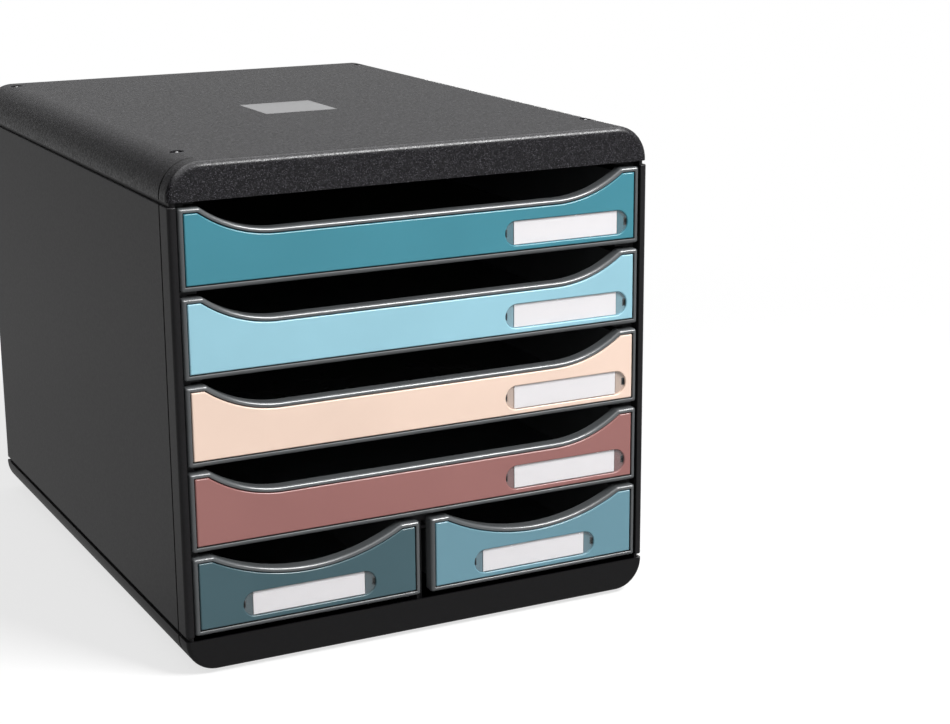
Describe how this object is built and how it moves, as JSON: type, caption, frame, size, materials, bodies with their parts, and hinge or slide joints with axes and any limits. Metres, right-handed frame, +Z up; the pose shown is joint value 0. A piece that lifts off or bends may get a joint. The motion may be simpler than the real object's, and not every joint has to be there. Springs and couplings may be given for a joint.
{
  "type": "desk drawer unit",
  "caption": "Free-standing desktop file box with full-width and half-width pull-out drawers, scooped finger grips, label windows and rounded matt casing.",
  "frame": {"origin": "centre of the bounding box in plan, at the underside of the rubber feet", "axes": "+X to the right seen from the front, +Y from the drawer fronts to the back, +Z up; the drawers open along -Y"},
  "size_m": [0.27, 0.355, 0.265],
  "materials": {
    "charcoal_casing": "fine-grained matt, near-black charcoal",
    "anthracite_tray": "smooth satin gloss, anthracite",
    "runner_board": "smooth matt, near-black charcoal",
    "pin_plastic": "smooth matt, charcoal",
    "foot_rubber": "matt black",
    "badge_metal": "plain satin silver, bare",
    "clear_plastic": "clear, glossy",
    "label_paper": "plain white, matt",
    "plate_petrol": "satin gloss, petrol blue",
    "plate_sky": "satin gloss, pale blue",
    "plate_cream": "satin gloss, pale peach",
    "plate_rose": "satin gloss, dusty rose brown",
    "plate_slate": "satin gloss, slate blue",
    "plate_steel": "satin gloss, steel blue"
  },
  "bodies": {
    "casing": {"top_cover": "charcoal_casing", "base": "charcoal_casing", "left_side_panel": "charcoal_casing", "right_side_panel": "charcoal_casing", "back_panel": "charcoal_casing", "shelf": "runner_board", "divider": "runner_board", "cover_pins": "pin_plastic", "rubber_feet": "foot_rubber", "badge_plate": "badge_metal"},
    "drawer_1": {"drawer_1_tray": "anthracite_tray", "drawer_1_plate": "plate_petrol", "drawer_1_window": "clear_plastic", "drawer_1_label": "label_paper"},
    "drawer_2": {"drawer_2_tray": "anthracite_tray", "drawer_2_plate": "plate_sky", "drawer_2_window": "clear_plastic", "drawer_2_label": "label_paper"},
    "drawer_3": {"drawer_3_tray": "anthracite_tray", "drawer_3_plate": "plate_cream", "drawer_3_window": "clear_plastic", "drawer_3_label": "label_paper"},
    "drawer_4": {"drawer_4_tray": "anthracite_tray", "drawer_4_plate": "plate_rose", "drawer_4_window": "clear_plastic", "drawer_4_label": "label_paper"},
    "drawer_5": {"drawer_5_tray": "anthracite_tray", "drawer_5_plate": "plate_slate", "drawer_5_window": "clear_plastic", "drawer_5_label": "label_paper"},
    "drawer_6": {"drawer_6_tray": "anthracite_tray", "drawer_6_plate": "plate_steel", "drawer_6_window": "clear_plastic", "drawer_6_label": "label_paper"}
  },
  "joints": [
    {"name": "drawer_1_slide", "type": "slide", "parent": "casing", "child": "drawer_1", "axis": [0, -1, 0], "range_m": [0, 0.24]},
    {"name": "drawer_2_slide", "type": "slide", "parent": "casing", "child": "drawer_2", "axis": [0, -1, 0], "range_m": [0, 0.24]},
    {"name": "drawer_3_slide", "type": "slide", "parent": "casing", "child": "drawer_3", "axis": [0, -1, 0], "range_m": [0, 0.24]},
    {"name": "drawer_4_slide", "type": "slide", "parent": "casing", "child": "drawer_4", "axis": [0, -1, 0], "range_m": [0, 0.24]},
    {"name": "drawer_5_slide", "type": "slide", "parent": "casing", "child": "drawer_5", "axis": [0, -1, 0], "range_m": [0, 0.24]},
    {"name": "drawer_6_slide", "type": "slide", "parent": "casing", "child": "drawer_6", "axis": [0, -1, 0], "range_m": [0, 0.24]}
  ]
}
